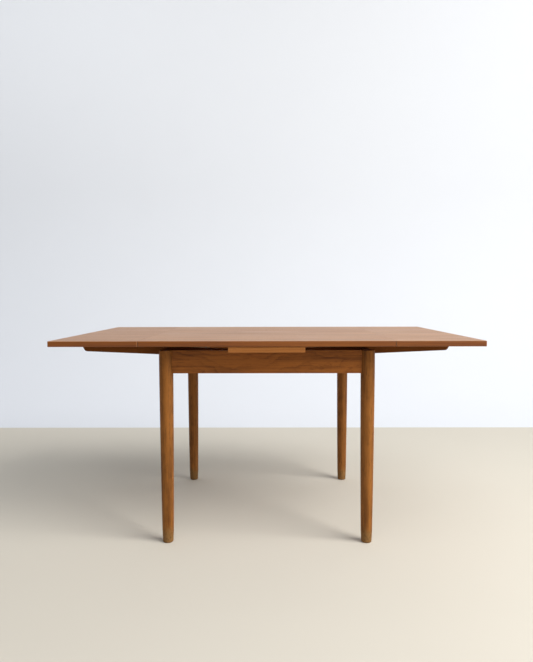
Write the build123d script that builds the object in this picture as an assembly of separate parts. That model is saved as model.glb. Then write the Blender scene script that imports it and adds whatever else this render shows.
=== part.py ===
from build123d import *
import math
import os

# Draw-leaf dining table, shown with both leaves pulled out.
# Millimetres. X runs along the table, Y runs from front (-) to rear (+), Z is up.
# The origin is on the floor under the middle of the table.

# ---- driving dimensions -------------------------------------------------------------------

TABLE_HEIGHT = 720.0
TABLE_DEPTH = 900.0
TOP_WIDTH = 858.0
LEAF_WIDTH = 298.0
PANEL_THICKNESS = 19.0
BUTT_GAP = 0.4              # hairline between the top and each leaf

LEG_SPACING = 702.0         # between leg axes, the same along X and Y
LEG_RADIUS = 24.5
LEG_MID_RADIUS = 23.1
ANKLE_RADIUS = 20.0
FOOT_RADIUS = 18.4
FOOT_ROUND = 4.5

APRON_DEPTH = 80.0
APRON_THICKNESS = 22.0
POCKET_HEIGHT = 20.0        # space over the aprons, where a leaf is put away

BOARD_WIDTH = 256.0
BOARD_DEPTH = 892.0

BEARER_WIDTH = 22.0
BEARER_SPACING = 25.0       # a left bearer to the right bearer beside it
BEARER_OUTER_Y = 303.0      # centre of the bearer nearest the leg
BEARER_OUTER_X = 644.0      # at the underside, before the end is rounded
BEARER_END_LEAN = 0.58      # how far the end leans out per unit of height
BEARER_INNER_X = 30.0
BEARER_DEPTH_AT_APRON = 39.0
BEARER_SLOPE = 0.043        # rise per unit of length, the same as the leaf's path
BEARER_CLEARANCE = 0.3

# ---- derived levels and places --------------------------------------------------------------

UNDERSIDE = TABLE_HEIGHT - PANEL_THICKNESS
APRON_TOP = UNDERSIDE - POCKET_HEIGHT
APRON_BOTTOM = APRON_TOP - APRON_DEPTH
LEG_AXIS = LEG_SPACING / 2
TOP_HALF = TOP_WIDTH / 2
TABLE_HALF = TOP_HALF + LEAF_WIDTH
APRON_OUTER = LEG_AXIS + APRON_THICKNESS / 2
APRON_INNER = LEG_AXIS - APRON_THICKNESS / 2
SLOPE_ANGLE = math.degrees(math.atan(BEARER_SLOPE))

LEFT = -1
RIGHT = 1
FRONT = -1
REAR = 1

# Each leaf has one bearer nearer the legs and one nearer the middle, so that the two leaves
# are the same leaf turned half round, and their bearers pass side by side.
BEARER_INNER_Y = BEARER_OUTER_Y - BEARER_SPACING
BEARER_Y = {
    LEFT: {FRONT: -BEARER_OUTER_Y, REAR: BEARER_INNER_Y},
    RIGHT: {FRONT: -BEARER_INNER_Y, REAR: BEARER_OUTER_Y},
}

os.makedirs("parts", exist_ok=True)


def save(shape, node):
    """Write one named piece of the table."""
    shape.label = node
    export_step(shape, f"parts/{node}.step")


def box_between(low, high):
    """A box from its lowest corner to its highest corner."""
    size = [b - a for a, b in zip(low, high)]
    middle = [(a + b) / 2 for a, b in zip(low, high)]
    return Pos(*middle) * Box(*size)


def rod(radius, x, y, low, high):
    """An upright round rod."""
    return Pos(x, y, (low + high) / 2) * Cylinder(radius, high - low)


def bearer_underside(distance):
    """Level of a bearer's lower edge at a distance from the table's middle, leaf pulled out."""
    return UNDERSIDE - BEARER_DEPTH_AT_APRON + BEARER_SLOPE * (distance - APRON_OUTER)


# ---- countersunk wood screw ---------------------------------------------------------------

SCREW_RADIUS = 2.0
SCREW_HEAD_RADIUS = 4.0
SCREW_HEAD_HEIGHT = 2.4
SCREW_TIP_LENGTH = 4.0
DRIVE_SLOT_WIDTH = 1.0
DRIVE_SLOT_DEPTH = 1.0
HOLE_CLEARANCE = 0.1
HEAD_SINK = 0.3             # a screw's head sits just below the wood's face
WELL_RADIUS = 4.6
WELL_LENGTH = 40.0


def screw_form(length, growth=0.0):
    """A countersunk screw pointing down, with its head's flat face at the origin."""
    head = SCREW_HEAD_RADIUS + growth
    shank = SCREW_RADIUS + growth
    outline = Polyline(
        (0, growth),
        (head, growth),
        (shank, -SCREW_HEAD_HEIGHT),
        (shank, -(length - SCREW_TIP_LENGTH)),
        (0, -length - growth),
        (0, growth),
    )
    return revolve(Plane.XZ * make_face(outline), Axis.Z)


def screw(length):
    """The screw itself, with a slot across its head."""
    slot = Box(4 * SCREW_HEAD_RADIUS, DRIVE_SLOT_WIDTH, 2 * DRIVE_SLOT_DEPTH)
    return screw_form(length) - slot


def screw_hole(length):
    """What a screw takes out of the wood."""
    return screw_form(length, HOLE_CLEARANCE)


def screw_well(place):
    """The round well, from the outside of the wood, down which a screw's head goes to its seat."""
    return place * Pos(0, 0, WELL_LENGTH / 2) * Cylinder(WELL_RADIUS, WELL_LENGTH)


# ---- aprons, rail and legs --------------------------------------------------------------------

TENON_THICKNESS = 10.0
TENON_HEIGHT = 56.0
TENON_REACH = 18.0          # how far a tenon goes in past the leg's surface
COPE_CLEARANCE = 0.15
LEG_TOP_CHAMFER = 1.0
TAPER_START = 600.0
TAPER_MIDDLE = 340.0
ANKLE_HEIGHT = 42.0
ARRIS = 1.0

TENON_END = LEG_AXIS - LEG_RADIUS + TENON_REACH
TENON_LOW = APRON_BOTTOM + (APRON_DEPTH - TENON_HEIGHT) / 2
TENON_HIGH = TENON_LOW + TENON_HEIGHT

CORNERS = {
    "front_left": (-LEG_AXIS, -LEG_AXIS),
    "front_right": (LEG_AXIS, -LEG_AXIS),
    "rear_left": (-LEG_AXIS, LEG_AXIS),
    "rear_right": (LEG_AXIS, LEG_AXIS),
}


def leg_blank():
    """A turned leg on the Z axis: straight past the aprons, then a swelling taper to the foot."""
    foot_arc_middle = FOOT_ROUND * (1 - math.sqrt(0.5))
    edge = [
        Line((0, 0), (FOOT_RADIUS - FOOT_ROUND, 0)),
        ThreePointArc(
            (FOOT_RADIUS - FOOT_ROUND, 0),
            (FOOT_RADIUS - foot_arc_middle, foot_arc_middle),
            (FOOT_RADIUS, FOOT_ROUND),
        ),
        Line((FOOT_RADIUS, FOOT_ROUND), (ANKLE_RADIUS, ANKLE_HEIGHT)),
        ThreePointArc(
            (ANKLE_RADIUS, ANKLE_HEIGHT),
            (LEG_MID_RADIUS, TAPER_MIDDLE),
            (LEG_RADIUS, TAPER_START),
        ),
        Line((LEG_RADIUS, TAPER_START), (LEG_RADIUS, APRON_TOP - LEG_TOP_CHAMFER)),
        Line((LEG_RADIUS, APRON_TOP - LEG_TOP_CHAMFER), (LEG_RADIUS - LEG_TOP_CHAMFER, APRON_TOP)),
        Line((LEG_RADIUS - LEG_TOP_CHAMFER, APRON_TOP), (0, APRON_TOP)),
        Line((0, APRON_TOP), (0, 0)),
    ]
    return revolve(Plane.XZ * make_face(edge), Axis.Z)


def tenon_bar():
    """A bar as long as a tenoned rail along X, with the section of its tenons."""
    return box_between(
        (-TENON_END, -TENON_THICKNESS / 2, TENON_LOW),
        (TENON_END, TENON_THICKNESS / 2, TENON_HIGH),
    )


def apron_blank():
    """A rail along X, coped round a leg at each end, with its tenons."""
    rail = box_between(
        (-LEG_AXIS, -APRON_THICKNESS / 2, APRON_BOTTOM),
        (LEG_AXIS, APRON_THICKNESS / 2, APRON_TOP),
    )
    lower_edges = rail.edges().filter_by(Axis.X).group_by(Axis.Z)[0]
    rail = fillet(lower_edges, ARRIS)
    for x in (-LEG_AXIS, LEG_AXIS):
        rail -= rod(LEG_RADIUS + COPE_CLEARANCE, x, 0, APRON_BOTTOM - 1, APRON_TOP + 1)
    return rail + tenon_bar()


def across(shape):
    """Turn a piece made along X so that it lies along Y."""
    return Rot(0, 0, 90) * shape


def make_legs():
    blank = leg_blank()
    for corner, (x, y) in CORNERS.items():
        leg = Pos(x, y, 0) * blank
        leg -= Pos(0, y, 0) * tenon_bar()
        leg -= Pos(x, 0, 0) * across(tenon_bar())
        save(leg, f"leg_{corner}")


# ---- corner blocks ------------------------------------------------------------------------------

BLOCK_HEIGHT = 40.0
BLOCK_LOW = APRON_BOTTOM + 3.0
BLOCK_LEG = 70.0            # length of a block along each apron
BLOCK_FACE = 26.0           # how far the block stays from the corner, clear of the leg
BLOCK_SCREW_LENGTH = 34.0
BLOCK_SCREW_LEVELS = (-10.0, 10.0)
BLOCK_SCREW_INSET = 54.0
BLOCK_SCREW_SEAT = 5.0      # how deep a screw's head sits behind the block's slanting face

BLOCK_MIDDLE = BLOCK_LOW + BLOCK_HEIGHT / 2
BLOCK_BACK = BLOCK_LEG / 6  # thickness left at the ends of the block's slanting face


def block_blank():
    """The block for the corner towards +X and +Y, seen from above as a cut triangle."""
    corner = APRON_INNER
    outline = Polyline(
        (corner - BLOCK_LEG, corner),
        (corner - BLOCK_FACE, corner),
        (corner, corner - BLOCK_FACE),
        (corner, corner - BLOCK_LEG),
        (corner - BLOCK_BACK, corner - BLOCK_LEG),
        (corner - BLOCK_LEG, corner - BLOCK_BACK),
        (corner - BLOCK_LEG, corner),
    )
    block = extrude(make_face(outline), BLOCK_HEIGHT)
    return Pos(0, 0, BLOCK_LOW) * block


def block_screw_places():
    """Places of one corner's screws: two into each apron, pointing outwards."""
    along = APRON_INNER - BLOCK_SCREW_INSET
    slant_sum = 2 * APRON_INNER - BLOCK_LEG - BLOCK_BACK
    seat = slant_sum - along + BLOCK_SCREW_SEAT
    for level in BLOCK_SCREW_LEVELS:
        yield Pos(seat, along, BLOCK_MIDDLE + level) * Rot(0, -90, 0)
        yield Pos(along, seat, BLOCK_MIDDLE + level) * Rot(90, 0, 0)


def corner_turns():
    """Each corner's name with the turn that carries the +X +Y corner to it."""
    return {"rear_right": 0, "rear_left": 90, "front_left": 180, "front_right": 270}


def make_corner_blocks():
    blank = block_blank()
    for place in block_screw_places():
        blank -= place * screw_hole(BLOCK_SCREW_LENGTH)
        blank -= screw_well(place)
    screws = []
    for corner, turn in corner_turns().items():
        save(Rot(0, 0, turn) * blank, f"corner_block_{corner}")
        for place in block_screw_places():
            screws.append(Rot(0, 0, turn) * place * screw(BLOCK_SCREW_LENGTH))
    save(Compound(children=screws), "corner_block_screws")


def block_screw_cuts():
    """All the holes that the corner block screws make in the aprons."""
    return [
        Rot(0, 0, turn) * place * screw_hole(BLOCK_SCREW_LENGTH)
        for turn in corner_turns().values()
        for place in block_screw_places()
    ]


# ---- centre board and its screws --------------------------------------------------------------------

BOARD_SCREW_LENGTH = 45.0
BOARD_SCREW_X = 90.0
PEG_RADIUS = 9.0
PEG_CLEARANCE = 0.5
PEG_LENGTH = 44.0
PEG_NOSE = 3.0
PEG_X = 70.0
RAIL_THICKNESS = 22.0
RAIL_TENON_REACH = 12.0
RAIL_TENON_HIGH = 645.0

BOARD_SCREW_PLACES = [
    Pos(x, y, UNDERSIDE - HEAD_SINK)
    for x in (-BOARD_SCREW_X, BOARD_SCREW_X)
    for y in (-LEG_AXIS, LEG_AXIS)
]


def make_centre_board():
    board = box_between(
        (-BOARD_WIDTH / 2, -BOARD_DEPTH / 2, APRON_TOP),
        (BOARD_WIDTH / 2, BOARD_DEPTH / 2, UNDERSIDE),
    )
    end_edges = board.edges().filter_by(Axis.X)
    board = fillet(end_edges, ARRIS)
    for place in BOARD_SCREW_PLACES:
        board -= place * screw_hole(BOARD_SCREW_LENGTH)
        board -= screw_well(place)
    for x in (-PEG_X, PEG_X):
        board -= rod(PEG_RADIUS + PEG_CLEARANCE, x, 0, APRON_TOP - 1, UNDERSIDE + 1)
    save(board, "centre_board")
    screws = [place * screw(BOARD_SCREW_LENGTH) for place in BOARD_SCREW_PLACES]
    save(Compound(children=screws), "centre_board_screws")


def make_guide_pegs():
    for side, x in (("left", -PEG_X), ("right", PEG_X)):
        peg = rod(PEG_RADIUS, x, 0, UNDERSIDE - PEG_LENGTH, UNDERSIDE)
        peg = chamfer(peg.edges().filter_by(GeomType.CIRCLE).sort_by(Axis.Z)[0], PEG_NOSE)
        save(peg, f"guide_peg_{side}")


# ---- aprons with their notches ------------------------------------------------------------------------

def notch(side, y):
    """The sloping channel that a leaf's bearer needs through an end apron and the centre rail."""
    width = BEARER_WIDTH + 2 * BEARER_CLEARANCE
    run = 2 * TABLE_HALF
    channel = Pos(0, 0, APRON_DEPTH / 2) * Box(run, width, APRON_DEPTH)
    floor = bearer_underside(0) - BEARER_CLEARANCE
    return Pos(0, y, floor) * Rot(0, -side * SLOPE_ANGLE, 0) * channel


def make_aprons():
    cuts = block_screw_cuts()
    screw_cuts = [place * screw_hole(BOARD_SCREW_LENGTH) for place in BOARD_SCREW_PLACES]
    rail_tenon = box_between(
        (-TENON_THICKNESS / 2, -APRON_INNER - RAIL_TENON_REACH, TENON_LOW),
        (TENON_THICKNESS / 2, APRON_INNER + RAIL_TENON_REACH, RAIL_TENON_HIGH),
    )
    for name, y in (("apron_front", -LEG_AXIS), ("apron_rear", LEG_AXIS)):
        apron = Pos(0, y, 0) * apron_blank()
        apron = apron - cuts - screw_cuts - rail_tenon
        save(apron, name)
    for name, side in (("end_apron_left", LEFT), ("end_apron_right", RIGHT)):
        apron = Pos(side * LEG_AXIS, 0, 0) * across(apron_blank())
        apron = apron - cuts - [notch(side, y) for y in BEARER_Y[side].values()]
        save(apron, name)
    rail = box_between(
        (-RAIL_THICKNESS / 2, -APRON_INNER, APRON_BOTTOM),
        (RAIL_THICKNESS / 2, APRON_INNER, APRON_TOP),
    )
    rail += rail_tenon
    rail -= [notch(side, y) for side in (LEFT, RIGHT) for y in BEARER_Y[side].values()]
    save(rail, "centre_rail")


# ---- main top and leaves -----------------------------------------------------------------------------------

LEAF_SCREW_LENGTH = 26.0
LEAF_SCREW_SINK = 12.0
LEAF_SCREW_DISTANCES = (460.0, 540.0, 620.0)
BEARER_END_ROUND = 11.0
STOP_PEG_RADIUS = 5.0
STOP_PEG_DROP = 12.0
PANEL_ARRIS = 1.2
CORNER_ROUND = 2.0
OTHER_END = {"front": "rear", "rear": "front"}


def panel(low_x, high_x, butt_sides):
    """A flat panel, with its edges eased everywhere but where it butts against a neighbour."""
    blank = box_between(
        (low_x, -TABLE_DEPTH / 2, UNDERSIDE),
        (high_x, TABLE_DEPTH / 2, TABLE_HEIGHT),
    )
    for x in (low_x, high_x):
        if x not in butt_sides:
            upright = [e for e in blank.edges().filter_by(Axis.Z) if math.isclose(e.center().X, x)]
            blank = fillet(upright, CORNER_ROUND)
    level_edges = blank.edges().group_by(Axis.Z)[0] + blank.edges().group_by(Axis.Z)[-1]
    rim = [e for e in level_edges if all(not math.isclose(e.center().X, x) for x in butt_sides)]
    return fillet(rim, PANEL_ARRIS)


def make_top():
    edges = (-TOP_HALF + BUTT_GAP / 2, TOP_HALF - BUTT_GAP / 2)
    save(panel(*edges, edges), "top_panel")


def bearer_blank():
    """The right-hand leaf's bearer in the XZ plane, centred on y = 0."""
    lean = BEARER_SLOPE
    board_edge = BOARD_WIDTH / 2
    inner_top = APRON_TOP - BEARER_CLEARANCE - lean * (board_edge - BEARER_INNER_X)
    step_x = TOP_HALF - BEARER_CLEARANCE
    step_level = APRON_TOP - BEARER_CLEARANCE + lean * (step_x - board_edge)
    step_run = UNDERSIDE - step_level
    outer_low = bearer_underside(BEARER_OUTER_X)
    outer_high_x = BEARER_OUTER_X + BEARER_END_LEAN * (UNDERSIDE - outer_low)
    outline = Polyline(
        (BEARER_INNER_X, bearer_underside(BEARER_INNER_X)),
        (BEARER_OUTER_X, outer_low),
        (outer_high_x, UNDERSIDE),
        (step_x + step_run, UNDERSIDE),
        (step_x, step_level),
        (BEARER_INNER_X, inner_top),
        (BEARER_INNER_X, bearer_underside(BEARER_INNER_X)),
    )
    bar = extrude(Plane.XZ * make_face(outline), BEARER_WIDTH / 2, both=True)
    outer_corner = bar.edges().filter_by(Axis.Y).sort_by(Axis.X)[-2:].sort_by(Axis.Z)[0]
    bar = fillet(outer_corner, BEARER_END_ROUND)
    long_edges = bar.faces().sort_by(Axis.Z)[0].edges().sort_by(SortBy.LENGTH)[-2:]
    return fillet(long_edges, ARRIS)


def leaf_side(side, shape):
    """Carry a piece of the right-hand leaf to the leaf on the given side."""
    return shape if side == RIGHT else Rot(0, 0, 180) * shape


def leaf_screw_places():
    """Screws up through a bearer on the XZ plane, three along its length."""
    for distance in LEAF_SCREW_DISTANCES:
        yield Pos(distance, 0, UNDERSIDE - LEAF_SCREW_SINK) * Rot(180, 0, 0)


def make_leaves():
    bar = bearer_blank()
    peg_x = APRON_INNER - BEARER_CLEARANCE - STOP_PEG_RADIUS
    peg_low = bearer_underside(peg_x) - STOP_PEG_DROP
    peg_high = bearer_underside(peg_x) + STOP_PEG_DROP
    peg = rod(STOP_PEG_RADIUS, peg_x, 0, peg_low, peg_high)
    bar -= rod(STOP_PEG_RADIUS + HOLE_CLEARANCE, peg_x, 0, peg_low, peg_high + HOLE_CLEARANCE)
    for place in leaf_screw_places():
        bar -= place * screw_hole(LEAF_SCREW_LENGTH)
        bar -= screw_well(place)
    inner_edge = TOP_HALF + BUTT_GAP / 2
    board = panel(inner_edge, TABLE_HALF, (inner_edge,))
    bearer_places = {"front": BEARER_Y[RIGHT][FRONT], "rear": BEARER_Y[RIGHT][REAR]}
    for y in bearer_places.values():
        board -= [Pos(0, y, 0) * place * screw_hole(LEAF_SCREW_LENGTH) for place in leaf_screw_places()]
    screws = [
        Pos(0, y, 0) * place * screw(LEAF_SCREW_LENGTH)
        for y in bearer_places.values()
        for place in leaf_screw_places()
    ]
    pegs = [Pos(0, y, 0) * peg for y in bearer_places.values()]
    for name, side in (("left", LEFT), ("right", RIGHT)):
        save(leaf_side(side, board), f"{name}_leaf_panel")
        for end, y in bearer_places.items():
            seen_end = end if side == RIGHT else OTHER_END[end]
            save(leaf_side(side, Pos(0, y, 0) * bar), f"{name}_bearer_{seen_end}")
        save(Compound(children=[leaf_side(side, s) for s in screws]), f"{name}_bearer_screws")
        save(Compound(children=[leaf_side(side, p) for p in pegs]), f"{name}_stop_pegs")


make_legs()
make_aprons()
make_corner_blocks()
make_centre_board()
make_guide_pegs()
make_top()
make_leaves()
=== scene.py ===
import math

import bmesh
import bpy
from bpy.props import FloatProperty, FloatVectorProperty, IntProperty, PointerProperty
from mathutils import Matrix, Vector


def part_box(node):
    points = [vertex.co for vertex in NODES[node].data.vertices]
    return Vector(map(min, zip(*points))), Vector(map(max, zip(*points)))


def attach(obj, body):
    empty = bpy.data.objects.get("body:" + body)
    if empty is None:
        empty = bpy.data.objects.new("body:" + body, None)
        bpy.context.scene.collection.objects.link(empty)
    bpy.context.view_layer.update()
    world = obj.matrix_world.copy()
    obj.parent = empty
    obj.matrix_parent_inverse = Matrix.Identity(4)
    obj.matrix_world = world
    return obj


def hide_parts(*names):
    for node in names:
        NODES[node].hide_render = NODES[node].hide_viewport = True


bl_info = {
    "name": "Draw-leaf dining table",
    "version": (1, 0, 0),
    "blender": (4, 5, 0),
    "location": "View3D > Sidebar > Table",
    "description": "Turns the legs, planes the top and leaves, and finishes the wood of a draw-leaf table",
    "category": "Object",
}

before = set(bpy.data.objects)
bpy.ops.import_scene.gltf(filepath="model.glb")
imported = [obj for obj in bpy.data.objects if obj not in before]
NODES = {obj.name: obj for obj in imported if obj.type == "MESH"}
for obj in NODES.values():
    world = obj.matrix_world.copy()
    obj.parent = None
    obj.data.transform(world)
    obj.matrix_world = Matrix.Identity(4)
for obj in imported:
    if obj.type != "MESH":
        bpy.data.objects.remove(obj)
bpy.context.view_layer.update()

MM = 0.001
CORNERS = ("front_left", "front_right", "rear_left", "rear_right")
ENDS = ("front", "rear")
SIDES = ("left", "right")


# ---- what a user would change --------------------------------------------------------------------


def length(name, text, metres):
    return FloatProperty(name=name, description=text, default=metres, min=0.0, subtype="DISTANCE", unit="LENGTH")


def angle(name, text, degrees):
    turn = math.radians(degrees)
    return FloatProperty(name=name, description=text, default=turn, subtype="ANGLE", unit="ROTATION")


def power(name, text, watts):
    return FloatProperty(name=name, description=text, default=watts, min=0.0, unit="POWER")


def factor(name, text, share):
    return FloatProperty(name=name, description=text, default=share, min=0.0, soft_max=1.0, subtype="FACTOR")


def colour(name, text, tint):
    return FloatVectorProperty(
        name=name, description=text, default=tint, min=0.0, max=1.0, size=3, subtype="COLOR"
    )


class TableShape(bpy.types.PropertyGroup):
    """Sizes of the pieces that are shaped here; the rest comes from the frame."""

    arris: length("Arris", "Rounding of the edges of the top and leaves", 1.6 * MM)
    butt_arris: length("Butt arris", "Rounding of the edges where a leaf meets the top", 0.5 * MM)
    corner_round: length("Corner round", "Rounding of a panel's free corners, seen from above", 2.5 * MM)
    butt_corner: length("Butt corner", "Rounding of the upright corners where a leaf meets the top", 2.0 * MM)
    leg_sides: IntProperty(name="Leg sides", description="Faces round a turned leg", default=72, min=12)
    leg_middle: length("Leg middle", "Radius of a leg half-way down its taper", 23.1 * MM)
    ankle: length("Ankle", "Radius of a leg just above its foot", 20.0 * MM)
    ankle_height: length("Ankle height", "Level of the ankle above the floor", 42.0 * MM)
    middle_height: length("Middle height", "Level at which the leg's middle radius is measured", 340.0 * MM)
    foot: length("Foot", "Radius of a leg at the floor, before its edge is rounded", 18.4 * MM)
    foot_round: length("Foot round", "Rounding of a foot's edge", 4.5 * MM)
    foot_wear: length("Foot wear", "Depth of the dents round a foot", 0.9 * MM)


class TableWoods(bpy.types.PropertyGroup):
    """Colours and sheen of the woods."""

    top_light: colour("Top, light", "Early wood of the top and leaves", (0.43, 0.205, 0.078))
    top_dark: colour("Top, dark", "Late wood of the top and leaves", (0.20, 0.076, 0.022))
    # The edge colour deepens a panel's sides as a darker edge tone, and its underside as painted shade.
    edge_tone_and_shade: colour("Edge tint", "What the sides of a panel are deepened by", (0.52, 0.31, 0.058))
    # The arris colour is a painted highlight: a paler tint laid along the upper arrises of the top and leaves.
    arris_painted_highlight: colour("Arris, rubbed", "Rubbed upper edges of the top and leaves", (0.46, 0.25, 0.125))
    # The bearers' colours are darkened as painted shade, for the shade under the leaves.
    bearer_shaded_light: colour("Bearers, light", "Early wood of the bearers", (0.20, 0.064, 0.010))
    bearer_shaded_dark: colour("Bearers, dark", "Late wood of the bearers", (0.09, 0.022, 0.003))
    frame_light: colour("Frame, light", "Early wood of the aprons", (0.325, 0.106, 0.0175))
    frame_dark: colour("Frame, dark", "Late wood of the aprons", (0.085, 0.022, 0.003))
    leg_light: colour("Legs, light", "Early wood of the legs", (0.285, 0.104, 0.0175))
    leg_dark: colour("Legs, dark", "Late wood of the legs", (0.085, 0.026, 0.003))
    board_light: colour("Centre board, light", "Early wood of the centre board", (0.345, 0.128, 0.029))
    board_dark: colour("Centre board, dark", "Late wood of the centre board", (0.22, 0.072, 0.014))
    inner_light: colour("Inside, light", "Early wood of the hidden rail and blocks", (0.36, 0.21, 0.10))
    inner_dark: colour("Inside, dark", "Late wood of the hidden rail and blocks", (0.18, 0.09, 0.04))
    dowel_light: colour("Dowels, light", "Early wood of the pegs", (0.56, 0.38, 0.20))
    dowel_dark: colour("Dowels, dark", "Late wood of the pegs", (0.36, 0.21, 0.10))
    worn_foot: colour("Worn foot", "Wood of the feet where the finish has gone", (0.28, 0.148, 0.048))
    top_roughness: factor("Top roughness", "Roughness of the top's finish", 0.42)
    frame_roughness: factor("Frame roughness", "Roughness of the frame's finish", 0.52)


class TableStage(bpy.types.PropertyGroup):
    """The studio: camera, lights and floor."""

    camera_gap: length("Camera gap", "From the camera to the front legs", 1.9978)
    camera_height: length("Camera height", "Level of the camera above the floor", 0.8663)
    camera_aside: length("Camera aside", "How far right of the middle the camera stands", 0.0094)
    camera_tilt: angle("Camera tilt", "Downward tilt of the camera", 3.41)
    camera_heading: angle("Camera heading", "Turn of the camera to the left", 0.30)
    camera_roll: angle("Camera roll", "Roll of the camera", -0.11)
    camera_lens: FloatProperty(
        name="Lens",
        description="Focal length on a 36 mm sensor",
        default=31.36,
        subtype="DISTANCE_CAMERA",
        unit="CAMERA",
    )
    window_gap: length("Window distance", "From the middle of the table to the large side light", 9.0)
    window_size: length("Window size", "Side of the large side light", 5.4)
    window_power: power("Window power", "Power of the large side light", 850.0)
    bay_power: power("Bay power", "Power of the near side light", 15.0)
    overhead_power: power("Overhead power", "Power of the light above", 62.0)
    wash_power: power("Wash power", "Power of the light on the backdrop", 34.0)
    sky_strength: factor("Sky", "Strength of the light from all round", 0.32)
    floor_colour: colour("Floor", "Colour of the floor", (0.62, 0.58, 0.50))
    backdrop_colour: colour("Backdrop", "Colour of the backdrop", (0.742, 0.762, 0.797))


# ---- modelling, as by hand -----------------------------------------------------------------------


TOUCH = 0.02 * MM
SMOOTH_UP_TO = math.radians(32)
CORNER_STEPS = 6
ARRIS_STEPS = 5
BUTT_STEPS = 2


def start(name):
    """Name the primitive that was just added and go into edit mode on it, all selected."""
    piece = bpy.context.object
    piece.name = name
    piece.data.name = name
    bpy.ops.object.mode_set(mode="EDIT")
    bpy.ops.mesh.select_all(action="SELECT")
    return piece


def settle(piece):
    """Leave edit mode, put the piece's place in its mesh, and smooth all but its real edges."""
    bpy.ops.object.mode_set(mode="OBJECT")
    bpy.ops.object.select_all(action="DESELECT")
    piece.select_set(True)
    bpy.context.view_layer.objects.active = piece
    bpy.ops.object.transform_apply(location=True, rotation=True, scale=True)
    bpy.ops.object.shade_smooth_by_angle(angle=SMOOTH_UP_TO)
    return piece


def select_edges(piece, wanted):
    """In edit mode, select only the edges whose two ends pass the test."""
    mesh = bmesh.from_edit_mesh(piece.data)
    place = piece.matrix_world
    for elements in (mesh.faces, mesh.edges, mesh.verts):
        for element in elements:
            element.select = False
    for edge in mesh.edges:
        if wanted(place @ edge.verts[0].co, place @ edge.verts[1].co):
            edge.select_set(True)
    bmesh.update_edit_mesh(piece.data)


def near(a, b):
    return abs(a - b) < TOUCH


def add_block(name, low, high):
    """A cube primitive stretched to the box between two corners."""
    bpy.ops.object.select_all(action="DESELECT")
    bpy.ops.mesh.primitive_cube_add(size=1, location=(low + high) / 2)
    bpy.ops.transform.resize(value=high - low, center_override=(low + high) / 2)
    bpy.ops.object.transform_apply(location=True, rotation=True, scale=True)
    return start(name)


def plane_panel(name, low, high, butts, shape):
    """A flat panel: corners rounded in plan, edges eased, and crisp where it butts on a neighbour."""
    piece = add_block(name, low, high)

    def upright_at(x):
        return lambda p, q: near(p.x, x) and near(q.x, x) and near(p.y, q.y)

    def level(p, q):
        return near(p.z, q.z) and (near(p.z, low.z) or near(p.z, high.z))

    def butting(p, q):
        return any(near(p.x, x) and near(q.x, x) for x in butts)

    for x in (low.x, high.x):
        select_edges(piece, upright_at(x))
        bpy.ops.mesh.bevel(offset=shape.butt_corner if x in butts else shape.corner_round, segments=CORNER_STEPS)
    select_edges(piece, lambda p, q: level(p, q) and not butting(p, q))
    bpy.ops.mesh.bevel(offset=shape.arris, segments=ARRIS_STEPS)
    select_edges(piece, lambda p, q: level(p, q) and butting(p, q))
    bpy.ops.mesh.bevel(offset=shape.butt_arris, segments=BUTT_STEPS)
    settle(piece)
    flats = piece.modifiers.new("Flat faces", "WEIGHTED_NORMAL")
    flats.keep_sharp = True
    bpy.ops.object.modifier_apply(modifier=flats.name)
    return piece


def copy_piece(piece, name, shift, turn):
    """A copy with a mesh of its own, turned about the upright through the piece's middle, then moved."""
    bpy.ops.object.select_all(action="DESELECT")
    piece.select_set(True)
    bpy.context.view_layer.objects.active = piece
    bpy.ops.object.duplicate(linked=False)
    copy = bpy.context.object
    copy.name = name
    copy.data.name = name
    places = [vertex.co for vertex in copy.data.vertices]
    middle = Vector([(min(values) + max(values)) / 2 for values in zip(*places)])
    turned = Matrix.Rotation(turn, 4, "Z") @ Matrix.Translation(-middle)
    copy.matrix_world = Matrix.Translation(middle + shift) @ turned
    bpy.ops.object.transform_apply(location=True, rotation=True, scale=True)
    return copy


def circle_through(points):
    """Centre and radius of the circle through three points in a plane."""
    (ax, ay), (bx, by), (cx, cy) = points
    twice = 2 * (ax * (by - cy) + bx * (cy - ay) + cx * (ay - by))
    a2, b2, c2 = ax * ax + ay * ay, bx * bx + by * by, cx * cx + cy * cy
    centre_x = (a2 * (by - cy) + b2 * (cy - ay) + c2 * (ay - by)) / twice
    centre_y = (a2 * (cx - bx) + b2 * (ax - cx) + c2 * (bx - ax)) / twice
    return centre_x, centre_y, math.hypot(ax - centre_x, ay - centre_y)


FOOT_RINGS = 6
ANKLE_RINGS = 4
TAPER_RINGS = 26
STRAIGHT_RINGS = 5
TOP_CHAMFER = 1.0 * MM
POLE_SHARES = (0.6, 0.4)
DENT_SIZE = 11 * MM
DENT_DETAIL = 2
DENT_LEVEL = 0.75


def leg_rings(low, high, taper_top, shape):
    """Level and radius of each ring of a leg, from the floor up."""
    top_radius = (high.x - low.x) / 2
    rings = []
    for step in range(FOOT_RINGS + 1):
        turn = math.pi / 2 * step / FOOT_RINGS
        flat = shape.foot - shape.foot_round
        rings.append((shape.foot_round * (1 - math.cos(turn)), flat + shape.foot_round * math.sin(turn)))
    for step in range(1, ANKLE_RINGS):
        share = step / ANKLE_RINGS
        level = shape.foot_round + share * (shape.ankle_height - shape.foot_round)
        rings.append((level, shape.foot + share * (shape.ankle - shape.foot)))
    points = (
        (shape.ankle_height, shape.ankle),
        (shape.middle_height, shape.leg_middle),
        (taper_top, top_radius),
    )
    centre_level, centre_radius, bend = circle_through(points)
    for step in range(TAPER_RINGS + 1):
        level = shape.ankle_height + (taper_top - shape.ankle_height) * step / TAPER_RINGS
        rings.append((level, centre_radius + math.sqrt(bend**2 - (level - centre_level) ** 2)))
    for step in range(1, STRAIGHT_RINGS + 1):
        level = taper_top + (high.z - TOP_CHAMFER - taper_top) * step / STRAIGHT_RINGS
        rings.append((level, top_radius))
    rings.append((high.z, top_radius - TOP_CHAMFER))
    return rings


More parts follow.
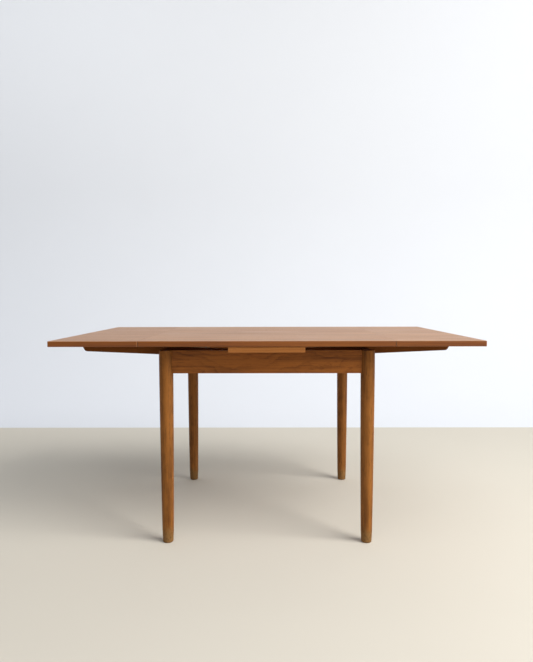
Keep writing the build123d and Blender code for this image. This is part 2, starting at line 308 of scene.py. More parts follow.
def close_ring(piece, level):
    """Draw the ring at a level in to a closed pole."""
    select_edges(piece, lambda p, q: near(p.z, level) and near(q.z, level))
    for share in POLE_SHARES:
        bpy.ops.mesh.extrude_region_move(TRANSFORM_OT_translate={"value": (0, 0, 0)})
        middle = Vector((piece.location.x, piece.location.y, level))
        bpy.ops.transform.resize(value=(share, share, 1), center_override=middle)
    bpy.ops.mesh.extrude_region_move(TRANSFORM_OT_translate={"value": (0, 0, 0)})
    bpy.ops.mesh.merge(type="CENTER")


def turn_leg(name, low, high, taper_top, shape):
    """A leg turned ring by ring from the foot up, closed at both ends."""
    x, y = (low.x + high.x) / 2, (low.y + high.y) / 2
    rings = leg_rings(low, high, taper_top, shape)
    level, radius = rings[0]
    bpy.ops.object.select_all(action="DESELECT")
    bpy.ops.mesh.primitive_circle_add(vertices=shape.leg_sides, radius=radius, location=(x, y, level))
    piece = start(name)
    for next_level, next_radius in rings[1:]:
        rise = {"value": (0, 0, next_level - level)}
        bpy.ops.mesh.extrude_region_move(TRANSFORM_OT_translate=rise)
        share = next_radius / radius
        bpy.ops.transform.resize(value=(share, share, 1), center_override=(x, y, next_level))
        level, radius = next_level, next_radius
    close_ring(piece, level)
    close_ring(piece, rings[0][0])
    bpy.ops.mesh.select_all(action="SELECT")
    bpy.ops.mesh.remove_doubles(threshold=0.001 * MM)
    bpy.ops.mesh.normals_make_consistent(inside=False)
    settle(piece)
    dent_foot(piece, shape)
    return piece


def dent_foot(piece, shape):
    """Knock shallow dents into the foot, none where it stands on the floor."""
    group = piece.vertex_groups.new(name="foot")
    for vertex in piece.data.vertices:
        rise = vertex.co.z / (2 * shape.foot_round)
        fade = 1 - vertex.co.z / shape.ankle_height
        group.add([vertex.index], max(0.0, min(rise, 1.0, fade)), "REPLACE")
    texture = bpy.data.textures.new("foot dents", "CLOUDS")
    texture.noise_scale = DENT_SIZE
    texture.noise_depth = DENT_DETAIL
    dents = piece.modifiers.new("Dents", "DISPLACE")
    dents.texture = texture
    dents.texture_coords = "LOCAL"
    dents.vertex_group = group.name
    dents.strength = shape.foot_wear
    dents.mid_level = DENT_LEVEL
    bpy.ops.object.modifier_apply(modifier=dents.name)
    piece.vertex_groups.clear()


# ---- woods ---------------------------------------------------------------------------------------


class Recipe:
    """A material's nodes, added one after another."""

    def __init__(self, name):
        self.material = bpy.data.materials.new(name)
        self.material.use_nodes = True
        self.tree = self.material.node_tree
        self.shader = self.tree.nodes["Principled BSDF"]

    def add(self, kind, inputs=None, **settings):
        """A node with its settings and its inputs, each a value or another node's output."""
        node = self.tree.nodes.new(kind)
        for key, value in settings.items():
            setattr(node, key, value)
        for key, value in (inputs or {}).items():
            self.feed(node.inputs[key], value)
        return node

    def feed(self, socket, value):
        if isinstance(value, bpy.types.NodeSocket):
            self.tree.links.new(value, socket)
        else:
            socket.default_value = value

    def math(self, operation, a, b=0.0, clamp=False):
        node = self.add("ShaderNodeMath", operation=operation, use_clamp=clamp)
        self.feed(node.inputs[0], a)
        self.feed(node.inputs[1], b)
        return node.outputs[0]

    def plus(self, a, b):
        return self.math("ADD", a, b)

    def times(self, a, b):
        return self.math("MULTIPLY", a, b)

    def swing(self, value, size):
        """A value between 0 and 1, made to swing by a size about zero."""
        return self.times(self.math("SUBTRACT", value, 0.5), size)

    def vector(self, x, y, z):
        return self.add("ShaderNodeCombineXYZ", {"X": x, "Y": y, "Z": z}).outputs[0]

    def noise(self, x, y, z, detail, roughness=0.5):
        inputs = {"Vector": self.vector(x, y, z), "Scale": 1.0, "Detail": detail, "Roughness": roughness}
        return self.add("ShaderNodeTexNoise", inputs).outputs["Fac"]

    def carry(self, value, low, high, to_low=0.0, to_high=1.0):
        """A value carried smoothly from one range to another."""
        inputs = {"Value": value, "From Min": low, "From Max": high, "To Min": to_low, "To Max": to_high}
        return self.add("ShaderNodeMapRange", inputs, interpolation_type="SMOOTHSTEP").outputs[0]

    def mix(self, share, a, b, blend="MIX"):
        node = self.add("ShaderNodeMix", data_type="RGBA", blend_type=blend)
        self.feed(node.inputs[0], share)
        for socket, value in ((node.inputs[6], a), (node.inputs[7], b)):
            self.feed(socket, value if isinstance(value, bpy.types.NodeSocket) else (*value, 1.0))
        return node.outputs[2]

    def ramp(self, value, stops):
        node = self.add("ShaderNodeValToRGB", {"Fac": value})
        ramp = node.color_ramp
        while len(ramp.elements) < len(stops):
            ramp.elements.new(0.5)
        for element, (place, level) in zip(ramp.elements, stops):
            element.position = place
            element.color = (level, level, level, 1.0)
        return node.outputs[0]


def deepened(tint, share):
    return [part * share for part in tint]


class Figure:
    """What a wood's figure looks like.

    ring is the width of a year's growth. The shows are how strongly the rings, fibres, streaks,
    blotches and flecks are seen. wander and ripple are how far the grain strays from straight,
    slowly and in short waves.
    """

    def __init__(
        self, ring, rings_show=0.5, fibres_show=0.6, streaks_show=0.9, blotches_show=0.0, flecks_show=0.0,
        wander=22 * MM, ripple=0.0,
    ):
        self.ring = ring
        self.rings_show = rings_show
        self.fibres_show = fibres_show
        self.streaks_show = streaks_show
        self.blotches_show = blotches_show
        self.flecks_show = flecks_show
        self.wander = wander
        self.ripple = ripple


TOP_FIGURE = Figure(5.5 * MM, streaks_show=1.5)
LEG_FIGURE = Figure(
    4.2 * MM, rings_show=0.40, fibres_show=1.0, streaks_show=1.6, blotches_show=1.0, flecks_show=0.6, wander=7 * MM
)
APRON_FIGURE = Figure(
    3.6 * MM, rings_show=0.42, streaks_show=1.6, flecks_show=0.35, wander=16 * MM, ripple=5 * MM
)
BOARD_FIGURE = Figure(5 * MM, wander=10 * MM)
BEARER_FIGURE = Figure(4 * MM, wander=9 * MM)
INNER_FIGURE = Figure(5 * MM)
PEG_FIGURE = Figure(3 * MM)

# Which axes run across the grain, into the board and along the grain, for each axis of the grain.
GRAIN_ORDER = {"X": (1, 2, 0), "Y": (0, 2, 1), "Z": (0, 1, 2)}

# Features a metre across the grain and along it, then the noise's detail and roughness.
GRAIN = {
    "wander": (5, 1.6, 2.0, 0.5),
    "ripple": (22, 11, 3.0, 0.55),
    "clear": (14, 3, 1.0, 0.5),
    "fibres": (420, 9, 3.0, 0.65),
    "streaks": (85, 2.4, 2.0, 0.6),
    "patches": (6, 3, 2.0, 0.5),
    "pores": (1400, 55, 1.0, 0.5),
    "blotches": (40, 16, 3.0, 0.6),
    "flecks": (240, 24, 2.0, 0.6),
    "scuffs": (70, 38, 4.0, 0.7),
    "knocks": (160, 110, 3.0, 0.6),
}

# How dark the wood grows through one year, from early wood to late.
YEAR_STOPS = ((0.0, 0.20), (0.40, 0.26), (0.78, 0.62), (0.94, 1.0), (1.0, 0.20))
YEAR_UNEVEN = 2.2
YEAR_UNEVEN_OUT = 55
YEAR_UNEVEN_ALONG = 0.7
SEED_STRIDE = 1.37

LOG_HALF = 0.12
BOARD_SHIFT_ACROSS = 1.7
BOARD_SHIFT_DEPTH = 0.05
BOARD_SHIFT_ALONG = 7.0
BOARD_TONES = 0.11

# Each range carries a value from its first two numbers to its last two, or to 0 and 1.
CLEAR_RANGE = (0.3, 0.7, 0.35, 1.25)
PORE_RANGE = (0.60, 0.72)
FLECK_RANGE = (0.56, 0.74, 0.0)
PATCHES_SHOW = 0.35
BASE_SHADE = 0.12
PORES_LATE = 0.7
PORES_EARLY = 0.3
PORES_SHOW = 0.55
PORE_DEPTH = 0.35
FLECK_DEPTH = 0.5

BUMP_STRENGTH = 0.35
BUMP_HEIGHT = 0.12 * MM
FIBRES_RISE = 0.5
PORES_SINK = 0.9
RINGS_RISE = 0.25
PATCHES_ROUGHEN = 0.12
PORES_ROUGHEN = 0.18
FIBRES_ROUGHEN = 0.10

# These go by how far a place on a panel faces upward, or sideways at a corner.
# Where the sides get their darker edge tone and the underside its painted shade.
EDGE_AND_UNDERSIDE_SHADE_RANGE = (0.35, 0.85, 1.0, 0.0)
ARRIS_BELOW = (0.30, 0.60)
ARRIS_ABOVE = (0.80, 0.98, 1.0, 0.0)
CORNER_RANGE = (0.15, 0.45, 0.0, 0.5)
# Patches in which the painted highlight on the upper arrises shows, and how strongly.
ARRIS_HIGHLIGHT_RANGE = (0.35, 0.65, 0.2, 0.7)
CORNER_DEPTH = 1.1
# How near a butt end the sides and end are darkened, how strongly, and how dark.
END_DARK_REACH = 3 * MM
END_DARK_FULL = 1 * MM
END_DARK_SHOWS = 0.85
END_DARK_DEPTH = 0.3

KNOCK_RANGE = (0.50, 0.72)
KNOCKS_SHOW = 0.85
BARE_SHOWS = 0.85
BARE_STRAY = 0.075
BARE_ROUGHENS = 0.25
SCUFF_DEPTH = 0.55
KNOCK_DEPTH = 0.22


class Wood(Recipe):
    """Wood sawn from a log whose rings run round its heart, with fibres, pores and patches.

    along is the grain's axis, and heart is how far the heart lies from the origin across the
    grain. plank is the width of the boards that a panel is glued up from, 0 for a single board.
    """

    def __init__(self, name, along, light, dark, heart, roughness, figure, seed, gloss=0.2, plank=0.0):
        super().__init__(name)
        self.light, self.dark, self.figure = light, dark, figure
        place = self.add("ShaderNodeTexCoord").outputs["Object"]
        self.axes = self.add("ShaderNodeSeparateXYZ", {"Vector": place}).outputs
        self.across, self.depth, self.run = (self.axes[i] for i in GRAIN_ORDER[along])
        board_tone = self.glue_up(plank, seed) if plank else None
        self.across = self.plus(self.across, heart[0])
        self.depth = self.plus(self.depth, heart[1])
        self.run = self.plus(self.run, seed * SEED_STRIDE)
        self.stray()
        self.rings = self.grow_rings()
        self.fibres = self.grain("fibres")
        self.patches = self.grain("patches")
        pores = self.carry(self.grain("pores"), *PORE_RANGE)
        self.pores = self.times(pores, self.plus(self.times(self.rings, PORES_LATE), PORES_EARLY))
        self.tint = self.colour_wood(board_tone)
        self.roughness = self.finish_surface(roughness)
        self.shader.inputs["Specular IOR Level"].default_value = gloss

    def grain(self, kind):
        """Noise drawn out along the grain."""
        fine, long, detail, roughness = GRAIN[kind]
        place = (self.times(self.across, fine), self.times(self.depth, fine), self.times(self.run, long))
        return self.noise(*place, detail, roughness)

    def glue_up(self, plank, seed):
        """Cut each board of a panel from another part of the log; gives back each board's tone."""
        board = self.math("FLOOR", self.math("DIVIDE", self.across, plank))
        chance = self.add("ShaderNodeTexWhiteNoise", {"W": self.plus(board, seed)}, noise_dimensions="1D")
        shares = self.add("ShaderNodeSeparateColor", {"Color": chance.outputs["Color"]}).outputs
        shifted = self.plus(self.across, self.times(shares[0], BOARD_SHIFT_ACROSS))
        self.across = self.math("PINGPONG", shifted, LOG_HALF)
        self.depth = self.plus(self.depth, self.times(shares[1], BOARD_SHIFT_DEPTH))
        self.run = self.plus(self.run, self.times(shares[2], BOARD_SHIFT_ALONG))
        return shares[2]

    def stray(self):
        """Let the grain stray from straight."""
        for kind, reach in (("wander", self.figure.wander), ("ripple", self.figure.ripple)):
            if reach:
                self.across = self.plus(self.across, self.swing(self.grain(kind), 2 * reach))

    def grow_rings(self):
        """How dark each place is within its year's growth."""
        from_heart = self.vector(self.across, self.depth, 0.0)
        radius = self.add("ShaderNodeVectorMath", {0: from_heart}, operation="LENGTH").outputs["Value"]
        out, up = self.times(radius, YEAR_UNEVEN_OUT), self.times(self.run, YEAR_UNEVEN_ALONG)
        uneven = self.times(self.noise(out, 0.0, up, 1.0), YEAR_UNEVEN)
        years = self.plus(self.math("DIVIDE", radius, self.figure.ring), uneven)
        return self.ramp(self.math("FRACT", years), YEAR_STOPS)

    def colour_wood(self, board_tone):
        figure = self.figure
        clear = self.carry(self.grain("clear"), *CLEAR_RANGE)
        shade = self.times(self.times(self.rings, clear), figure.rings_show)
        swings = [
            (self.fibres, figure.fibres_show),
            (self.grain("streaks"), figure.streaks_show),
            (self.patches, PATCHES_SHOW),
        ]
        if figure.blotches_show:
            swings.append((self.grain("blotches"), figure.blotches_show))
        if board_tone:
            swings.append((board_tone, BOARD_TONES))
        for value, size in swings:
            shade = self.plus(shade, self.swing(value, size))
        shade = self.math("ADD", shade, BASE_SHADE, clamp=True)
        tint = self.mix(shade, self.light, self.dark)
        tint = self.mix(self.times(self.pores, PORES_SHOW), tint, deepened(self.dark, PORE_DEPTH))
        if figure.flecks_show:
            flecks = self.carry(self.grain("flecks"), *FLECK_RANGE, figure.flecks_show)
            tint = self.mix(flecks, tint, deepened(self.dark, FLECK_DEPTH))
        return tint

    def finish_surface(self, roughness):
        """Set the bump of the open grain, and give back how rough each place is."""
        height = self.math("SUBTRACT", self.times(self.fibres, FIBRES_RISE), self.times(self.pores, PORES_SINK))
        height = self.plus(height, self.times(self.rings, RINGS_RISE))
        bump = {"Strength": BUMP_STRENGTH, "Distance": BUMP_HEIGHT, "Height": height}
        self.feed(self.shader.inputs["Normal"], self.add("ShaderNodeBump", bump).outputs[0])
        rough = self.plus(self.swing(self.patches, PATCHES_ROUGHEN), roughness)
        rough = self.plus(rough, self.times(self.pores, PORES_ROUGHEN))
        return self.plus(rough, self.swing(self.fibres, FIBRES_ROUGHEN))

    def age_panel(self, edge_tone_and_shade, arris_highlight_tint, darkened_end):
        """Deepen a panel's sides with a darker edge tone and its underside as painted shade, and paint a highlight
        on its upper arrises.

        The last argument is how far from the middle a butt end lies, near which the sides and end are darkened; 0
        for none.
        """
        facing = self.add("ShaderNodeNewGeometry").outputs["Normal"]
        facing_x, facing_y, facing_up = self.add("ShaderNodeSeparateXYZ", {"Vector": facing}).outputs
        # Sides get a darker edge tone; the underside is darkened as painted shade under the panel.
        side = self.carry(facing_up, *EDGE_AND_UNDERSIDE_SHADE_RANGE)
        self.tint = self.mix(side, self.tint, self.mix(1.0, self.tint, edge_tone_and_shade, "MULTIPLY"))
        # Painted highlight: the upper arrises are lightened towards the arris colour, in patches.
        arris = self.times(self.carry(facing_up, *ARRIS_BELOW), self.carry(facing_up, *ARRIS_ABOVE))
        painted_highlight = self.times(arris, self.carry(self.patches, *ARRIS_HIGHLIGHT_RANGE))
        self.tint = self.mix(painted_highlight, self.tint, arris_highlight_tint)
        corner = self.math("ABSOLUTE", self.times(facing_x, facing_y))
        self.tint = self.mix(self.carry(corner, *CORNER_RANGE), self.tint, deepened(self.light, CORNER_DEPTH))
        # Darken the sides and end within a few millimetres of a butt end.
        if darkened_end:
            from_middle = self.math("ABSOLUTE", self.axes[0])
            darkening = self.carry(from_middle, darkened_end - END_DARK_REACH, darkened_end - END_DARK_FULL, 0.0, END_DARK_SHOWS)
            self.tint = self.mix(self.times(darkening, side), self.tint, deepened(self.dark, END_DARK_DEPTH))

    def wear_foot(self, bare_tint, low, high):
        """Wear the finish off a foot, most at the lower level and not at all at the higher."""
        scuffs = self.grain("scuffs")
        level = self.plus(self.axes[2], self.swing(scuffs, BARE_STRAY))
        bare = self.carry(level, low, high, BARE_SHOWS, 0.0)
        knocks = self.times(self.carry(self.grain("knocks"), *KNOCK_RANGE), KNOCKS_SHOW)
        worn = self.mix(scuffs, bare_tint, deepened(bare_tint, SCUFF_DEPTH))
        worn = self.mix(knocks, worn, deepened(bare_tint, KNOCK_DEPTH))
        self.tint = self.mix(bare, self.tint, worn)
        self.roughness = self.plus(self.roughness, self.times(bare, BARE_ROUGHENS))

    def seal(self):
        """Join the colour and the roughness to the shader, and give back the material."""
        self.feed(self.shader.inputs["Base Color"], self.tint)
        self.feed(self.shader.inputs["Roughness"], self.math("MINIMUM", self.roughness, 1.0))
        return self.material


BRIGHT_STEEL = (0.46, 0.45, 0.42)
TARNISHED_STEEL = (0.20, 0.16, 0.12)
STEEL_MOTTLE = 420.0
TARNISH_RANGE = (0.45, 0.70)
STEEL_ROUGHNESS = (0.3, 0.7, 0.32, 0.62)
PAINT_MOTTLE = 3.0
PAINT_DEPTH = 0.985
PAINT_ROUGHNESS = 0.9
PAINT_GLOSS = 0.1


def make_steel():
    """Dull screw steel, slightly tarnished."""
    recipe = Recipe("screw steel")
    place = recipe.add("ShaderNodeTexCoord").outputs["Object"]
    mottle = recipe.add("ShaderNodeTexNoise", {"Vector": place, "Scale": STEEL_MOTTLE, "Detail": 4.0})
    darkening = mottle.outputs["Fac"]
    tint = recipe.mix(recipe.carry(darkening, *TARNISH_RANGE), BRIGHT_STEEL, TARNISHED_STEEL)
    recipe.feed(recipe.shader.inputs["Base Color"], tint)
    recipe.feed(recipe.shader.inputs["Roughness"], recipe.carry(darkening, *STEEL_ROUGHNESS))
    recipe.shader.inputs["Metallic"].default_value = 1.0
    return recipe.material


def make_plain(name, tint):
    """Matt studio paint, with the faintest mottle."""
    recipe = Recipe(name)
    place = recipe.add("ShaderNodeTexCoord").outputs["Object"]
    mottle = recipe.add("ShaderNodeTexNoise", {"Vector": place, "Scale": PAINT_MOTTLE, "Detail": 3.0})
    mottled = recipe.mix(mottle.outputs["Fac"], tint, deepened(tint, PAINT_DEPTH))
    recipe.feed(recipe.shader.inputs["Base Color"], mottled)
    recipe.shader.inputs["Roughness"].default_value = PAINT_ROUGHNESS
    recipe.shader.inputs["Specular IOR Level"].default_value = PAINT_GLOSS
    return recipe.material


def finish_nodes(names, material):
    """Give CAD nodes a material, in the slots they came with."""
    for name in names:
        for slot in NODES[name].material_slots:
            slot.material = material


def dress(piece, material, body, node):
    """A new piece's material, the body it rides on, and the node that it stands for."""
    piece.data.materials.clear()
    piece.data.materials.append(material)
    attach(piece, body)
    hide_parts(node)


# ---- operators -----------------------------------------------------------------------------------


# How far the heart of a piece's log lies from the piece's middle, or from the origin, across the grain.
LEG_HEART = (0.055, 0.045)
LEG_HEART_STEP = 0.02
PANEL_HEART_DEPTH = 0.05
APRON_HEART = (0.03, 0.02)
BOARD_HEART = (0.2, -0.60)
INNER_HEART = (0.05, -0.5)
BEARER_HEART = (0.31, -0.62)
PEG_HEART = (0.02, 0.02)

FOOT_BARE_BELOW = 22 * MM
FOOT_SOUND_ABOVE = 70 * MM
PANEL_PLANK = 112.5 * MM
PANEL_GLOSS = 0.5
BEARER_GLOSS = 0.08
INNER_ROUGHNESS = 0.7
PEG_ROUGHNESS = 0.6


class TABLE_OT_legs(bpy.types.Operator):
    """Turn the four legs and finish them, with worn feet"""

    bl_idname = "table.legs"
    bl_label = "Turn the Legs"

    def execute(self, context):
        shape, woods = context.scene.table_shape, context.scene.table_woods
        taper_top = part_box("apron_front")[0].z
        first_low, first_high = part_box(f"leg_{CORNERS[0]}")
        legs = [turn_leg(f"turned_leg_{CORNERS[0]}", first_low, first_high, taper_top, shape)]
        for number, corner in enumerate(CORNERS[1:], start=1):
            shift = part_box(f"leg_{corner}")[0] - first_low
            legs.append(copy_piece(legs[0], f"turned_leg_{corner}", shift, number * math.pi / 2))
        for number, (corner, leg) in enumerate(zip(CORNERS, legs)):
            node = f"leg_{corner}"
            low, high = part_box(node)
            heart_x = LEG_HEART[0] - (low.x + high.x) / 2
            heart_y = LEG_HEART[1] - (low.y + high.y) / 2 - LEG_HEART_STEP * number
            tones = (woods.leg_light, woods.leg_dark)
            rough = woods.frame_roughness
            wood = Wood(f"{node} wood", "Z", *tones, (heart_x, heart_y), rough, LEG_FIGURE, seed=11.0 + 3 * number)
            wood.wear_foot(tuple(woods.worn_foot), FOOT_BARE_BELOW, FOOT_SOUND_ABOVE)
            dress(leg, wood.seal(), "frame", node)
        return {"FINISHED"}


class TABLE_OT_top(bpy.types.Operator):
    """Plane the main top and finish it"""

    bl_idname = "table.top"
    bl_label = "Make the Main Top"

    def execute(self, context):
        shape, woods = context.scene.table_shape, context.scene.table_woods
        low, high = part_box("top_panel")
        top = plane_panel("main_top", low, high, (low.x, high.x), shape)
        wood = make_panel_wood("top wood", high.z, woods, seed=3.0, darkened_end=high.x)
        dress(top, wood, "top", "top_panel")
        return {"FINISHED"}


class TABLE_OT_leaves(bpy.types.Operator):
    """Plane the two leaves and finish them"""

    bl_idname = "table.leaves"
    bl_label = "Make the Leaves"

    def execute(self, context):
        shape, woods = context.scene.table_shape, context.scene.table_woods
        low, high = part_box("left_leaf_panel")
        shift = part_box("right_leaf_panel")[0] - low
        left = plane_panel("left_leaf_board", low, high, (high.x,), shape)
        right = copy_piece(left, "right_leaf_board", shift, math.pi)
        for number, (side, leaf) in enumerate(zip(SIDES, (left, right))):
            wood = make_panel_wood(f"{side} leaf wood", high.z, woods, seed=23.0 + 9 * number)
            dress(leaf, wood, f"{side}_leaf", f"{side}_leaf_panel")
        return {"FINISHED"}


def make_panel_wood(name, surface, woods, seed, darkened_end=0.0):
    """The wood of the top or a leaf, whose heart lies a little under its surface."""
    heart = (0.0, PANEL_HEART_DEPTH - surface)
    tones = (woods.top_light, woods.top_dark)
    finish = {"gloss": PANEL_GLOSS, "plank": PANEL_PLANK}
    wood = Wood(name, "X", *tones, heart, woods.top_roughness, TOP_FIGURE, seed, **finish)
    wood.age_panel(tuple(woods.edge_tone_and_shade), tuple(woods.arris_painted_highlight), darkened_end)
    return wood.seal()


class TABLE_OT_frame(bpy.types.Operator):
    """Finish the aprons, the centre board, the hidden rail and the corner blocks"""

    bl_idname = "table.frame"
    bl_label = "Finish the Frame"

    def execute(self, context):
        woods = context.scene.table_woods
        rough = woods.frame_roughness
        low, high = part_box("apron_front")
        heart = (APRON_HEART[0], APRON_HEART[1] - (low.z + high.z) / 2)
        tones = (woods.frame_light, woods.frame_dark)
        aprons = [(f"apron_{end}", "X") for end in ENDS] + [(f"end_apron_{side}", "Y") for side in SIDES]
        for number, (name, along) in enumerate(aprons):
            wood = Wood(f"{name} wood", along, *tones, heart, rough, APRON_FIGURE, seed=41.0 + 3 * number)
            finish_nodes([name], wood.seal())
        tones = (woods.board_light, woods.board_dark)
        board = Wood("centre board wood", "X", *tones, BOARD_HEART, rough, BOARD_FIGURE, seed=53.0)
        finish_nodes(["centre_board"], board.seal())
        tones = (woods.inner_light, woods.inner_dark)
        inner = Wood("inner wood", "Y", *tones, INNER_HEART, INNER_ROUGHNESS, INNER_FIGURE, seed=59.0)
        finish_nodes(["centre_rail"] + [f"corner_block_{corner}" for corner in CORNERS], inner.seal())
        return {"FINISHED"}


class TABLE_OT_bearers(bpy.types.Operator):
    """Finish the leaves' bearers and all the pegs"""

    bl_idname = "table.bearers"
    bl_label = "Finish the Bearers and Pegs"

    def execute(self, context):
        woods = context.scene.table_woods
        # These colours carry painted shade: the bearers are made darker than the frame for the shade under the
        # leaves.
        tones = (woods.bearer_shaded_light, woods.bearer_shaded_dark)
        finish = {"roughness": woods.frame_roughness, "figure": BEARER_FIGURE, "gloss": BEARER_GLOSS}
        for number, side in enumerate(SIDES):
            for step, end in enumerate(ENDS):
                name = f"{side}_bearer_{end}"
                seed = 61.0 + 2 * number + step
                wood = Wood(f"{name} wood", "X", *tones, BEARER_HEART, seed=seed, **finish)
                finish_nodes([name], wood.seal())
        tones = (woods.dowel_light, woods.dowel_dark)
        peg = Wood("peg wood", "Z", *tones, PEG_HEART, PEG_ROUGHNESS, PEG_FIGURE, seed=71.0)
        finish_nodes([f"guide_peg_{side}" for side in SIDES] + [f"{side}_stop_pegs" for side in SIDES], peg.seal())
        return {"FINISHED"}


class TABLE_OT_screws(bpy.types.Operator):
    """Finish the screws"""

    bl_idname = "table.screws"
    bl_label = "Finish the Screws"

    def execute(self, context):
        finish_nodes([name for name in NODES if name.endswith("screws")], make_steel())
        return {"FINISHED"}


class TABLE_OT_stage(bpy.types.Operator):
    """Set up the floor, the backdrop, the lights and the camera"""

    bl_idname = "table.stage"
    bl_label = "Set the Stage"

    def execute(self, context):
        stage = context.scene.table_stage
        make_floor(stage)
        make_backdrop(stage)
        make_lights(context, stage)
        make_camera(context, stage)
        return {"FINISHED"}


STAGE_HALF = 9.0
FLOOR_THICKNESS = 0.02
FLOOR_BACK = 1.43
SWEEP_BEND = 1.9
SWEEP_WALL = 6.0
SWEEP_STEPS = 48
SWEEP_SHARE = 0.999
SENSOR_WIDTH = 36.0
WINDOW_TURN = math.radians(-30)
WINDOW_RISE = math.radians(35)
WINDOW_AIM_LEVEL = 0.5
WASH_PLACE = (-4.5, 1.4, 4.2)
WASH_AIM = (0.0, 1.9, -2.6)
WASH_LENGTH = 7.0
WASH_DEPTH = 0.8
OVERHEAD_PLACE = (0.8, -2.4, 4.2)
OVERHEAD_AIM = (-0.8, 2.4, -3.8)
OVERHEAD_SIZE = 3.6
BAY_PLACE = (2.1, -1.2, 1.2)
BAY_AIM = (-1.0, 0.5, -0.36)
BAY_SIZE = 1.2
WINDOW_TINT = (1.0, 0.985, 0.96)
OVERHEAD_TINT = (0.95, 0.97, 1.0)
WASH_TINT = (0.94, 0.97, 1.0)
SKY_TINT = (0.90, 0.93, 1.0)


def make_floor(stage):
    """A flat pale floor, as a shallow box so that its front and sides are closed."""
    low = Vector((-STAGE_HALF, FLOOR_BACK - 2 * STAGE_HALF, -FLOOR_THICKNESS))
    floor = add_block("studio_floor", low, Vector((STAGE_HALF, FLOOR_BACK, 0.0)))
    settle(floor)
    floor.data.materials.append(make_plain("floor paint", stage.floor_colour))


def make_backdrop(stage):
    """A paler sheet that starts at the back of the floor and curves up into a wall."""
    bpy.ops.object.select_all(action="DESELECT")
    middle = FLOOR_BACK + SWEEP_BEND / 2
    bpy.ops.mesh.primitive_plane_add(size=1, location=(0, middle, 0))
    bpy.ops.transform.resize(value=(2 * STAGE_HALF, SWEEP_BEND, 1), center_override=(0, middle, 0))
    sheet = start("studio_backdrop")
    corner = FLOOR_BACK + SWEEP_BEND
    select_edges(sheet, lambda p, q: near(p.y, corner) and near(q.y, corner))
    bpy.ops.mesh.extrude_region_move(TRANSFORM_OT_translate={"value": (0, 0, SWEEP_WALL)})
    select_edges(sheet, lambda p, q: near(p.y, corner) and near(q.y, corner) and near(p.z, 0) and near(q.z, 0))
    bpy.ops.mesh.bevel(offset=SWEEP_BEND * SWEEP_SHARE, segments=SWEEP_STEPS)
    settle(sheet)
    sheet.data.materials.append(make_plain("backdrop paint", stage.backdrop_colour))


def add_light(context, name, place, towards, width, height, power, tint):
    """A rectangular soft light at a place, shining the given way; gives back its object."""
    light = bpy.data.lights.new(name, "AREA")
    light.shape = "RECTANGLE"
    light.size = width
    light.size_y = height
    light.energy = power
    light.color = tint
    holder = bpy.data.objects.new(name, light)
    context.scene.collection.objects.link(holder)
    holder.location = place
    holder.rotation_euler = Vector(towards).to_track_quat("-Z", "Y").to_euler()
    return holder


def make_lights(context, stage):
    """Lights far and near on the right, overhead and on the backdrop, and light from all round."""
    flat = Vector((math.cos(WINDOW_TURN), math.sin(WINDOW_TURN), 0.0)) * math.cos(WINDOW_RISE)
    outward = flat + Vector((0.0, 0.0, math.sin(WINDOW_RISE)))
    window_place = Vector((0.0, 0.0, WINDOW_AIM_LEVEL)) + outward * stage.window_gap
    size = stage.window_size
    add_light(context, "window", window_place, -outward, size, size, stage.window_power, WINDOW_TINT)
    bay = (BAY_PLACE, BAY_AIM, BAY_SIZE, BAY_SIZE)
    near_light = add_light(context, "bay", *bay, stage.bay_power, WINDOW_TINT)
    near_light.visible_glossy = False
    overhead = (OVERHEAD_PLACE, OVERHEAD_AIM, OVERHEAD_SIZE, OVERHEAD_SIZE)
    add_light(context, "overhead", *overhead, stage.overhead_power, OVERHEAD_TINT)
    add_light(context, "wash", WASH_PLACE, WASH_AIM, WASH_LENGTH, WASH_DEPTH, stage.wash_power, WASH_TINT)
    world = bpy.data.worlds.new("studio")
    world.use_nodes = True
    background = world.node_tree.nodes["Background"]
    background.inputs["Color"].default_value = (*SKY_TINT, 1.0)
    background.inputs["Strength"].default_value = stage.sky_strength
    context.scene.world = world
    context.scene.view_settings.view_transform = "Standard"


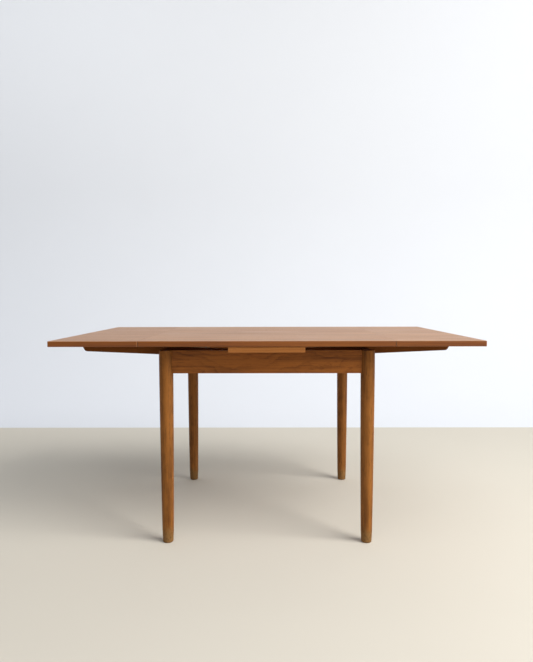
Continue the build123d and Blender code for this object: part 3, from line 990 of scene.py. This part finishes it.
def make_camera(context, stage):
    data = bpy.data.cameras.new("camera")
    data.sensor_width = SENSOR_WIDTH
    data.lens = stage.camera_lens
    camera = bpy.data.objects.new("camera", data)
    context.scene.collection.objects.link(camera)
    low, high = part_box("leg_front_left")
    camera.location = (stage.camera_aside, (low.y + high.y) / 2 - stage.camera_gap, stage.camera_height)
    turn = Matrix.Rotation(stage.camera_heading, 4, "Z")
    tilt = Matrix.Rotation(math.pi / 2 - stage.camera_tilt, 4, "X")
    roll = Matrix.Rotation(stage.camera_roll, 4, "Z")
    camera.rotation_euler = (turn @ tilt @ roll).to_euler()
    context.scene.camera = camera


class TABLE_PT_panel(bpy.types.Panel):
    """The table's pieces, one button each"""

    bl_label = "Draw-leaf Table"
    bl_idname = "TABLE_PT_panel"
    bl_space_type = "VIEW_3D"
    bl_region_type = "UI"
    bl_category = "Table"

    def draw(self, context):
        for operator in OPERATORS:
            self.layout.operator(operator.bl_idname)
        for group in (context.scene.table_shape, context.scene.table_woods, context.scene.table_stage):
            box = self.layout.box()
            for name in group.__annotations__:
                box.prop(group, name)


OPERATORS = (
    TABLE_OT_legs,
    TABLE_OT_top,
    TABLE_OT_leaves,
    TABLE_OT_frame,
    TABLE_OT_bearers,
    TABLE_OT_screws,
    TABLE_OT_stage,
)
GROUPS = {"table_shape": TableShape, "table_woods": TableWoods, "table_stage": TableStage}


def register():
    for group in GROUPS.values():
        bpy.utils.register_class(group)
    for operator in OPERATORS:
        bpy.utils.register_class(operator)
    bpy.utils.register_class(TABLE_PT_panel)
    for name, group in GROUPS.items():
        setattr(bpy.types.Scene, name, PointerProperty(type=group))


def unregister():
    for name in GROUPS:
        delattr(bpy.types.Scene, name)
    bpy.utils.unregister_class(TABLE_PT_panel)
    for operator in reversed(OPERATORS):
        bpy.utils.unregister_class(operator)
    for group in GROUPS.values():
        bpy.utils.unregister_class(group)


def main():
    register()
    bpy.ops.table.legs()
    bpy.ops.table.top()
    bpy.ops.table.leaves()
    bpy.ops.table.frame()
    bpy.ops.table.bearers()
    bpy.ops.table.screws()
    bpy.ops.table.stage()


if __name__ == "__main__":
    main()
